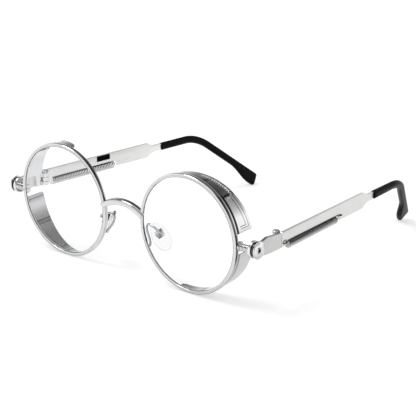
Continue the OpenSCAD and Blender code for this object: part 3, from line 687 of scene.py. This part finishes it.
# Domed rivets
# A polished rivet joins collar and side plate, and its shank passes through both. Its head is a skirt
# with a groove and a low dome.
COLLAR_T, PLATE_T = 1.4, 1.3
DOME_R, DOME_H, DOME_TOP, DOME_STEPS = 3.36, 1.05, 1.79, 24
HEAD_X = COLLAR_X + COLLAR_T + PLATE_T
profile = [(HEAD_X + x, r) for x, r in ((0.01, 1.1), (0.01, 3.0), (0.08, 3.36), (0.24, 3.54), (0.42, 3.6),
                                        (0.56, 3.56), (0.62, 3.44), (0.66, 3.3), (0.7, 3.3), (0.74, DOME_R))]
dome = (DOME_R ** 2 + DOME_H ** 2) / 2 / DOME_H
for i in range(1, DOME_STEPS + 1):
    r = DOME_R * (1 - i / DOME_STEPS) + 0.02
    profile.append((HEAD_X + DOME_TOP - dome + math.sqrt(dome * dome - r * r), r))
head = spun(profile, 96)
shank = spun([(COLLAR_X, 1.2), (HEAD_X + 0.1, 1.2)], 32)
# Painted shade on the head's underside, on the shank and in the head's groove
both("knob", moved(joined(head, shank), AT_KNOB), AT_ARM, PLATED,
     tint=lambda v: 0.9 if v.x < HEAD_X + 0.05 or HEAD_X + 0.65 < v.x < HEAD_X + 0.71 else 0.0)


# Side plates and temple plates
# Both are blanked from the same flat strip and brushed along their length. The side plate has a round
# eye under the rivet; the temple plate has a long notch for its spring and a neck that ends in a core wire.
INNER_X, HALF_H, FRONT_LOW, EYE_R = 1.52, 3.5, 2.7, 2.9
BRUSHED = darkened(marked("brushed_plate", (0.84, 0.84, 0.82), (0.77, 0.77, 0.755), 0.22, 0.14, grain=900.0,
                          stretch=(6, 0.25, 8), bump=0.12, Metallic=1.0))


def plate(outline):
    return loft([[(x, y, z) for y, z in outline] for x in (INNER_X, INNER_X + PLATE_T)])


turns = [math.radians(a) for a in range(96, 269, 6)]
eye = [(-PLATE_REACH + EYE_R * math.cos(a), KNOB_RISE + EYE_R * math.sin(a)) for a in turns]
outline = eye + [(-13.2, -2.52), (-11.6, -2.76), (-9.8, -2.9), (-8.0, -2.94), (-6.1, -2.92), (-3.8, -2.86),
                 (-1.8, -2.78), (-0.02, -FRONT_LOW), (-0.02, HALF_H), (-9.0, HALF_H + 0.66), (-9.6, HALF_H + 0.68),
                 (-10.3, HALF_H + 0.4), (-11.5, 3.5), (-12.0, 3.4)]


# Painted shade: the eye's narrow edge is dark, and the upper edge less so. The two broad faces are darkened a
# little all over.
def side_painted_shade(v):
    if math.hypot(v.y + PLATE_REACH, v.z - KNOB_RISE) < EYE_R + 0.06 and v.y < -12.6:
        return 0.92
    return 0.6 if v.z > HALF_H - 0.1 else 0.0


both("side_plate", plate(outline), AT_ARM, BRUSHED, bevel=0.16, flat=0.16, tint=side_painted_shade)

AT_TEMPLE = AT_ARM @ Matrix.Rotation(math.radians(4.2), 4, "Z")
NOTCH_FROM, NOTCH_TO, NOTCH_TOP = 3.9, 44.6, -0.7
PLATE_END, NECK_FROM, SLEEVE_FROM, NECK_HALF = 65.0, 68.6, 74.0, 1.6
outline = [(0.02, -FRONT_LOW), (NOTCH_FROM - 0.5, -2.42), (NOTCH_FROM, -2.1), (NOTCH_FROM, NOTCH_TOP - 0.4),
           (NOTCH_FROM + 0.4, NOTCH_TOP), (NOTCH_TO - 0.4, NOTCH_TOP), (NOTCH_TO, NOTCH_TOP - 0.4),
           (NOTCH_TO, -HALF_H + 0.4), (NOTCH_TO + 0.4, -HALF_H), (PLATE_END - 0.8, -HALF_H),
           (PLATE_END, -HALF_H + 0.2), (PLATE_END + 0.7, -HALF_H + 0.9), (NECK_FROM, -NECK_HALF),
           (SLEEVE_FROM, -NECK_HALF), (SLEEVE_FROM, NECK_HALF), (NECK_FROM, NECK_HALF + 0.1),
           (PLATE_END + 0.8, HALF_H - 0.45), (PLATE_END + 0.1, HALF_H - 0.1), (PLATE_END - 0.5, HALF_H),
           (0.3, HALF_H), (0.02, HALF_H - 0.25)]
both("temple", plate(outline), AT_TEMPLE, BRUSHED, "temple_{}_body", bevel=0.14)

# The left plate alone has a plain black patch printed on its inner face, measured along and up the plate
PATCH_ALONG, PATCH_UP, PATCH_SOFT = (31.8 * MM, 40.1 * MM), (0.7 * MM, 3.4 * MM), 0.1 * MM
PRINTED = BRUSHED.copy()
PRINTED.name = "brushed_plate_printed"
tree = PRINTED.node_tree
surface, axes = tree.nodes["Principled BSDF"], (SIDES["left"] @ AT_TEMPLE).to_3x3()
base = SIDES["left"] @ AT_TEMPLE.translation * MM
where = tree.nodes["Texture Coordinate"].outputs["Object"]


def along_axis(axis):
    node = tree.nodes.new("ShaderNodeVectorMath")
    node.operation = "DOT_PRODUCT"
    node.inputs[1].default_value = axes.col[axis]
    tree.links.new(where, node.inputs[0])
    return maths(tree, "SUBTRACT", node.outputs["Value"], base.dot(axes.col[axis]))


patch = maths(tree, "MULTIPLY", between(tree, along_axis(1), *PATCH_ALONG, PATCH_SOFT),
              between(tree, along_axis(2), *PATCH_UP, PATCH_SOFT))
patch = maths(tree, "MULTIPLY", patch, maths(tree, "LESS_THAN", along_axis(0), (INNER_X + 0.05) * MM))
ink = mixed(tree, patch, tree.nodes["Mix"].outputs["Result"], (0.003, 0.003, 0.003))
tree.links.new(ink, surface.inputs["Base Color"])
bpy.data.objects["temple_left_look"].data.materials[0] = PRINTED


# Hinges
# Three knuckles stand inside the plates: two on the front leaf and one on the temple's leaf.
# A slotted screw from above runs through them, and its head shows over the plate.
KNUCKLE_R, HALF_K, EACH, WEB_FROM = 1.4, 2.9, 5.6 / 3, 0.2
LEAF_FROM, LEAF_TO, LEAF_X = 1.75, 4.75, INNER_X - 0.7


def knuckle(low, high):
    stack = [(0.93, low), (1, low + 0.1), (1, high - 0.1), (0.93, high)]
    return loft([[(f * x, f * y, z) for x, y in circle(KNUCKLE_R, 40)] for f, z in stack])


front_leaf = [block((LEAF_X, -LEAF_TO, -HALF_K), (INNER_X, -LEAF_FROM, HALF_K))]
for low in (-HALF_K, HALF_K - EACH):
    front_leaf += [knuckle(low, low + EACH), block((0, -LEAF_FROM, low), (INNER_X, -WEB_FROM, low + EACH))]
rear_leaf = [block((LEAF_X, LEAF_FROM, -HALF_K), (INNER_X, LEAF_TO, HALF_K)), knuckle(-EACH / 2, EACH / 2),
             block((0, WEB_FROM, -EACH / 2), (INNER_X, LEAF_FROM, EACH / 2))]
both("hinge_front", joined(*front_leaf), AT_ARM, PLATED)
both("hinge_rear", joined(*rear_leaf), AT_TEMPLE, PLATED, "temple_{}_body")
shape = moved(slotted(1.5, 1.2, 0.4, 0.7, 2 * HALF_K), Matrix.Translation((0, 0, HALF_K)))
# Painted shade in the slot, on the shank and at the foot of the head
both("hinge_screw", shape, AT_ARM, SCREW, slot="screw_steel",
     tint=lambda v: 0.85 if abs(v.y) < 0.21 and abs(v.x) < 1.45 or v.z < HALF_K + 0.1 else 0.0)


# Temple springs
# An extension spring of hard drawn wire lies in each temple's notch. Its two hooks pass through holes
# in the plate, and the coil hangs between them.
SPRING_STEEL = darkened(marked("spring_wire", (0.78, 0.78, 0.77), (0.66, 0.66, 0.655), 0.2, 0.16, Metallic=1.0),
                        (0.012, 0.012, 0.013))
TURNS, PER_TURN, COIL_LEN, COIL_R, WIRE_R = 38, 28, 36.5, 1.55, 0.25
COIL_FROM, COIL_Z, MID_X = 4.9, -2.55, INNER_X + PLATE_T / 2
HOOK_X, HOOK_Z, HOOK_FRONT, HOOK_REAR = MID_X + 1.0, -1.4, 1.2, 46.0


def coil_point(t):
    a = 2 * math.pi * t
    return Vector((MID_X + COIL_R * math.cos(a), COIL_FROM + COIL_LEN * t / TURNS, COIL_Z - COIL_R * math.sin(a)))


# A smooth bend from a to d that leaves towards b and arrives from c
def bend_through(a, b, c, d, n):
    out = []
    for i in range(n + 1):
        t = i / n
        out.append(a * (1 - t) ** 3 + b * (3 * t * (1 - t) ** 2) + c * (3 * t * t * (1 - t)) + d * t ** 3)
    return out


# A round wire swept along the line
def wire_tree():
    tree, entry = new_growth("wire_along", Radius="Float", Sides="Int")
    curve, section, sweep = new_nodes(tree, "GeometryNodeMeshToCurve", "GeometryNodeCurvePrimitiveCircle",
                                      "GeometryNodeCurveToMesh")
    sweep.inputs["Fill Caps"].default_value = True
    connect(tree, (entry, "Geometry", curve, "Mesh"), (entry, "Radius", section, "Radius"),
            (entry, "Sides", section, "Resolution"), (curve, "Curve", sweep, "Curve"),
            (section, "Curve", sweep, "Profile Curve"))
    return finish_growth(tree, entry, sweep.outputs["Mesh"])


WIRE = wire_tree()
begin, top = coil_point(0), coil_point(TURNS + 0.75)
route = [Vector((INNER_X - 0.15, HOOK_FRONT, HOOK_Z)), Vector((HOOK_X - 0.5, HOOK_FRONT, HOOK_Z))]
route += bend_through(Vector((HOOK_X - 0.3, HOOK_FRONT, HOOK_Z)), Vector((HOOK_X + 0.5, HOOK_FRONT, HOOK_Z)),
                      Vector((HOOK_X + 0.3, HOOK_FRONT + 1.6, HOOK_Z + 1.2)),
                      begin + Vector((0, -0.35, COIL_R * 0.95)), 20)
route += [begin + Vector((0.02, -0.12, COIL_R * 0.45))]
route += [coil_point(i / PER_TURN) for i in range(TURNS * PER_TURN + PER_TURN * 3 // 4)]
route += bend_through(top, top + Vector((0.8 * COIL_R, 0.6, 0)), Vector((HOOK_X + 0.8, HOOK_REAR, HOOK_Z)),
                      Vector((HOOK_X - 0.3, HOOK_REAR, HOOK_Z)), 24)
route += [Vector((HOOK_X - 0.5, HOOK_REAR, HOOK_Z)), Vector((INNER_X - 0.15, HOOK_REAR, HOOK_Z))]


# Painted reflection: the coil is near black on top and lightens towards its underside, where it would mirror the
# floor; the hooks are black all over
def spring_black_and_reflection(v):
    if v.y < COIL_FROM - 0.2 or v.y > COIL_FROM + COIL_LEN + 0.9:
        return 1.0
    return 0.02 + 0.9 * ramp(v.z - COIL_Z, -0.3, 0.75)


both("spring", grown(WIRE, route, Radius=WIRE_R, Sides=10, Finish=SPRING_STEEL), AT_TEMPLE, SPRING_STEEL,
     "temple_{}_body", "spring_steel", sharp=70, tint=spring_black_and_reflection)


# Temple tips
# Black acetate sleeves, shrunk on the core wire: straight, bent down and in behind the ear, then
# widening into a paddle. The surface is tumbled to a satin gloss.
ACETATE = marked("black_acetate", (0.004, 0.004, 0.0045), (0.007, 0.007, 0.0075), 0.26, 0.12, grain=1400.0,
                 bump=0.03, Specular_IOR_Level=0.2, IOR=1.25)
STRAIGHT, BEND, BEND_R, BEND_ROLL, LEG = 91.0, 42.0, 21.0, 26.0, 34.5
TIP_T, TIP_H, PADDLE_H, TOE = 2.9, 3.7, 7.0, 1.4
sleeve_run = STRAIGHT - SLEEVE_FROM
leg_from = sleeve_run + BEND_R * math.radians(BEND)
sleeve_len = leg_from + LEG


# Carries a point of the sleeve's section to its place at a distance along the bent sleeve
def on_sleeve(s, x, z):
    a = math.radians(min(BEND, max(0, math.degrees((s - sleeve_run) / BEND_R))))
    leg = max(0, s - leg_from)
    lean = math.radians(BEND_ROLL * min(1, max(0, s / sleeve_run)))
    y = min(s, sleeve_run) - sleeve_run + BEND_R * math.sin(a) + leg * math.cos(a) + z * math.sin(a)
    z = BEND_R * (math.cos(a) - 1) - leg * math.sin(a) + z * math.cos(a)
    return (MID_X + x * math.cos(lean) + z * math.sin(lean), STRAIGHT + y, z * math.cos(lean) - x * math.sin(lean))


def sleeve_ring(s, height, inset):
    w, h = TIP_T / 2 - inset, height / 2 - inset
    r = min(w, h) * 0.92
    ring = []
    for cx, cz, start in ((w - r, h - r, 0), (r - w, h - r, 90), (r - w, r - h, 180), (w - r, r - h, 270)):
        for k in range(8):
            a = math.radians(start + 90 * k / 7)
            ring.append(on_sleeve(s, cx + r * math.cos(a), cz + r * math.sin(a) + TIP_H / 2 - height / 2))
    return ring


# Each ring of the sleeve: how far along it stands, and how much smaller it is at the rounded ends
stations = [(0.0, 0.5), (0.1, 0.22), (0.3, 0.06), (0.6, 0.0)]
stations += [(0.6 + (sleeve_run - 0.6) * i / 6, 0.0) for i in range(1, 7)]
stations += [(sleeve_run + (leg_from - sleeve_run) * i / 28, 0.0) for i in range(1, 29)]
paddle_from = leg_from + LEG / 2
stations += [(leg_from + (LEG / 2) * i / 6, 0.0) for i in range(1, 6)]
stations += [(paddle_from + (sleeve_len - TOE - paddle_from) * i / 24, 0.0) for i in range(25)]
turns = [math.radians(a) for a in range(10, 90, 10)]
stations += [(sleeve_len - TOE + TOE * math.sin(a), TOE * (1 - math.cos(a))) for a in turns]
rings = []
for s, inset in stations:
    t = 1.15 * max(0, s - paddle_from) / (sleeve_len - TOE - paddle_from)
    height = TIP_H + (PADDLE_H - TIP_H) * (1 - math.cos(math.pi * min(1, t))) / 2
    rings.append(sleeve_ring(s, height, inset))
both("tip", loft(rings), AT_TEMPLE, ACETATE, "temple_{}_body", "black_acetate", sharp=60)


# Nose pad arms
# A plated wire is brazed to the back of each rim. It loops up and over, so that it can be bent to fit, and
# ends on the back of the pad's box.
AT_PAD = FRONT @ Matrix.Translation((14.6, 7, -7.8)) @ Matrix.Rotation(math.radians(-33), 4, "Y") \
    @ Matrix.Rotation(math.radians(8), 4, "X") @ Matrix.Rotation(math.radians(-35), 4, "Z")
PAD_T, BOX_GAP, BOX_H, PAD_UP = 1.8, 0.4, 2.2, 1.4
ARM_R, ARM_DOWN, RIM_MIDDLE = 0.5, 10.5, 24.5
to_front = FRONT.inverted() @ AT_PAD
arm_from = Vector((LENS_X - math.sqrt(RIM_MIDDLE ** 2 - ARM_DOWN ** 2), RIM_HALF, -ARM_DOWN))
arm_to = to_front @ Vector((PAD_T / 2 + BOX_GAP + BOX_H, 0, PAD_UP))
arm_out = to_front.to_3x3() @ Vector((1, 0, 0))
route = [arm_from + Vector((0, -0.1, 0)), arm_from + Vector((0, 0.6, 0))]
route += bend_through(arm_from + Vector((0, 1, 0)), arm_from + Vector((-0.6, 3.2, 1.5)),
                      arm_from + Vector((-4.4, 3, 5)), arm_from + Vector((-3.2, 3.4, 7.6)), 24)
route += bend_through(arm_from + Vector((-2.9, 3.5, 8)), arm_from + Vector((-1.6, 3.2, 9)),
                      arm_to + 2.4 * arm_out, arm_to + 0.8 * arm_out, 24)
route += [arm_to - 0.2 * arm_out]
# The whole arm carries an even painted shade
both("pad_arm", grown(WIRE, route, Radius=ARM_R, Sides=14, Finish=PLATED), FRONT, PLATED, sharp=60,
     tint=lambda v: 0.45)


# Pad boxes and pivot screws
# A small plated box, open to the pad, is brazed to the arm. It holds the pad's tab on a steel cross screw,
# so that the pad can rock.
BOX_Y, BOX_Z, BOX_WALL, BOX_FLOOR = 1.5, 1.7, 0.7, 0.5
box_from, box_to = PAD_T / 2 + BOX_GAP, PAD_T / 2 + BOX_GAP + BOX_H
low, high = PAD_UP - BOX_Z, PAD_UP + BOX_Z
walls = joined(block((box_from, -BOX_Y, low), (box_to, BOX_WALL - BOX_Y, high)),
               block((box_from, BOX_Y - BOX_WALL, low), (box_to, BOX_Y, high)),
               block((box_to - BOX_WALL, -1.0, low), (box_to, 1.0, high)),
               block((box_from, -0.9, high - BOX_FLOOR), (box_to, 0.9, high)),
               block((box_from, -0.9, low), (box_to, 0.9, low + BOX_FLOOR)))
# Painted shade: dark everywhere but on the back face, which is dark on two opposite quarters
both("pad_box", walls, AT_PAD, PLATED, bevel=0.1,
     tint=lambda v: 0.95 if v.x < box_to - 0.05 or (v.y > 0) == (v.z > PAD_UP) else 0.0)
pivot = Matrix.Translation((box_from + 0.75, -BOX_Y, PAD_UP)) @ Matrix.Rotation(math.radians(90), 4, "X")
both("pad_screw", moved(slotted(0.7, 0.4, 0.18, 0.35, 2 * BOX_Y), pivot), AT_PAD, SCREW, slot="screw_steel")


# Nose pads
# Clear silicone pads rest on the nose. Each is moulded with a crowned face and with a tab that goes into
# the box, where the cross screw holds it.
PAD_HALF_W, PAD_HALF_H, PAD_STEPS = 3.7, 6.5, 48
SILICONE, tree, surface = new_finish("clear_silicone", Roughness=0.1, IOR=1.3, Transmission_Weight=0.96)
# Painted shade: the pad's colour darkens where it is seen edge on, which draws a grey outline
edge_on = shaded(tree, "ShaderNodeLayerWeight", Blend=0.2)
edge_painted_shade = mixed(tree, edge_on.outputs["Facing"], (0.93, 0.93, 0.94), (0.35, 0.35, 0.36))
tree.links.new(edge_painted_shade, surface.inputs["Base Color"])
skin = clouded(tree, Scale=700.0, Detail=2.0)
tree.links.new(ranged(tree, skin, 0.0, 1.0, 0.02, 0.14), surface.inputs["Roughness"])
rings = []
for x, f in ((-0.9, 0.02), (-0.9, 0.35), (-0.87, 0.62), (-0.78, 0.82), (-0.6, 0.94), (-0.35, 0.99), (0.0, 1.0),
             (0.35, 0.99), (0.6, 0.94), (0.78, 0.85), (0.87, 0.66), (0.9, 0.4), (0.9, 0.02)):
    rings.append([(x, PAD_HALF_W * f * c * (1 - 0.12 * s), PAD_HALF_H * f * s) for c, s in circle(1, PAD_STEPS)])
tab = block((0.7, -0.7, PAD_UP - 0.9), (box_from + 0.95, 0.7, PAD_UP + 0.9))
both("nose_pad", joined(loft(rings), tab), AT_PAD, SILICONE, "pad_{}_body", "clear_silicone", sharp=50)


# Studio
# A pale floor that keeps the contact shadows, an even white room, and one soft lamp above the front left.
# Polished metal sees the room as bright low walls, a darker ceiling and a bright panel straight above.
FLOOR_TONE, FLOOR_DARK, FLOOR_GLOW, FLOOR_R = (0.58, 0.58, 0.58), (0.01, 0.01, 0.01), 0.52, 4
FLOOR, tree, surface = new_finish("studio_floor", Base_Color=(*FLOOR_TONE, 1), Roughness=0.9,
                                  Specular_IOR_Level=0.0, Emission_Color=(1, 1, 1, 1))
path, where, split = new_nodes(tree, "ShaderNodeLightPath", "ShaderNodeTexCoord", "ShaderNodeSeparateXYZ")
seen = maths(tree, "MAXIMUM", maths(tree, "MAXIMUM", path.outputs["Is Camera Ray"], path.outputs["Is Glossy Ray"]),
             path.outputs["Is Transmission Ray"])
connect(tree, (where, "Object", split, 0))
across, along = split.outputs["X"], split.outputs["Y"]

# Painted reflections, seen by the metal alone in the floor: paler and darker fields, a darker patch that stands in
# for the piece's own shadow, and a dark fan beside the right temple
mirrored = maths(tree, "SUBTRACT", path.outputs["Is Glossy Ray"], path.outputs["Is Transmission Ray"])
shown = maths(tree, "MAXIMUM", mirrored, 0.0)
front = ranged(tree, along, -0.095, -0.06, 0.0, -0.15)
painted_own_shadow = maths(tree, "MULTIPLY", between(tree, across, 0.035, 0.1, 0.015), between(tree, along, -0.08, -0.025, 0.01))
pattern = maths(tree, "MULTIPLY_ADD", painted_own_shadow, -0.15, front)
pattern = maths(tree, "MULTIPLY_ADD", between(tree, across, -0.07, 0.06, 0.01),
                ranged(tree, along, 0.04, 0.075, 0.0, 0.2), pattern)
fan = maths(tree, "DIVIDE", maths(tree, "ADD", along, 0.07), maths(tree, "SUBTRACT", across, 0.0685))
fan = maths(tree, "MULTIPLY", between(tree, fan, 0.25, 0.9, 0.1), between(tree, across, 0.113, 0.6, 0.012))
lit = maths(tree, "SUBTRACT", 1.0, maths(tree, "MULTIPLY", shown, fan))
glow = maths(tree, "MULTIPLY", maths(tree, "MULTIPLY_ADD", shown, pattern, FLOOR_GLOW), lit)
tree.links.new(mixed(tree, lit, FLOOR_DARK, FLOOR_TONE), surface.inputs["Base Color"])
tree.links.new(maths(tree, "MULTIPLY", seen, glow), surface.inputs["Emission Strength"])
bm = bmesh.new()
bmesh.ops.create_circle(bm, cap_ends=True, radius=FLOOR_R, segments=96)
mesh = bpy.data.meshes.new("studio_floor")
bm.to_mesh(mesh)
bm.free()
mesh.materials.append(FLOOR)
floor = bpy.data.objects.new("studio_floor", mesh)
bpy.context.scene.collection.objects.link(floor)

world = bpy.data.worlds.new("studio_room")
bpy.context.scene.world = world
world.use_nodes = True
tree = world.node_tree
even, out = tree.nodes["Background"], tree.nodes["World Output"]
fill(even, {"Color": (1, 1, 1, 1), "Strength": 0.72})
plain, room = new_nodes(tree, "ShaderNodeBackground", "ShaderNodeBackground")
where, split, walls = new_nodes(tree, "ShaderNodeTexCoord", "ShaderNodeSeparateXYZ", "ShaderNodeValToRGB")
connect(tree, (where, "Generated", split, 0), (split, "Z", walls, "Fac"))
stops = walls.color_ramp.elements
stops[0].position, stops[0].color = 0.0, (1.1, 1.1, 1.1, 1)
stops[1].position, stops[1].color = 1.0, (1, 1, 1, 1)
for at, grey in ((0.28, 1.15), (0.4, 0.75), (0.49, 0.52), (0.6, 0.38), (0.66, 0.34), (0.667, 0.02), (0.693, 0.02),
                 (0.70, 0.7), (0.708, 0.3), (0.84, 0.2), (0.9, 0.9)):
    stop = stops.new(at)
    stop.color = (grey, grey, grey, 1)
across, along, high = split.outputs["X"], split.outputs["Y"], split.outputs["Z"]


def product(*terms):
    value = terms[0]
    for term in terms[1:]:
        value = maths(tree, "MULTIPLY", value, term)
    return value


# A dim wall stands behind and to the left, a dark stand beside the camera, and a dark post to the right
dim = product(ranged(tree, across, 0.12, 0.3, 1.0, 0.0), ranged(tree, along, 0.2, 0.45),
              ranged(tree, high, 0.04, 0.16), 0.32)
stand_dark = product(ranged(tree, across, 0.25, 0.45), ranged(tree, along, -0.3, -0.15, 1.0, 0.0),
                     ranged(tree, high, -0.02, 0.12), 0.9)
post = product(ranged(tree, across, 0.7, 0.76), ranged(tree, along, 0.2, 0.3),
               ranged(tree, along, 0.56, 0.64, 1.0, 0.0), ranged(tree, high, 0.1, 0.16, 1.0, 0.0), 0.95)
kept = maths(tree, "SUBTRACT", 1.0, maths(tree, "MAXIMUM", post, maths(tree, "MAXIMUM", dim, stand_dark)))
tree.links.new(kept, room.inputs["Strength"])
connect(tree, (walls, "Color", room, "Color"))
path = tree.nodes.new("ShaderNodeLightPath")
plain.inputs["Color"].default_value = (1, 1, 1, 1)
direct = maths(tree, "MAXIMUM", path.outputs["Is Camera Ray"], path.outputs["Is Transmission Ray"])
glossy, whole = new_nodes(tree, "ShaderNodeMixShader", "ShaderNodeMixShader")
for blend, terms in ((glossy, (path.outputs["Is Glossy Ray"], even.outputs[0], room.outputs[0])),
                     (whole, (direct, glossy.outputs[0], plain.outputs[0]))):
    for socket, term in zip(blend.inputs, terms):
        tree.links.new(term, socket)
connect(tree, (whole, 0, out, "Surface"))

lamp = bpy.data.objects.new("soft_lamp", bpy.data.lights.new("soft_lamp", "AREA"))
lamp.data.shape = "DISK"
lamp.data.size = 0.9
lamp.data.energy = 14
lamp.location = (-0.9, -0.5, 1.8)
lamp.rotation_euler = (-lamp.location).to_track_quat("-Z", "Y").to_euler()
bpy.context.scene.collection.objects.link(lamp)
bpy.context.scene.view_settings.view_transform = "Standard"
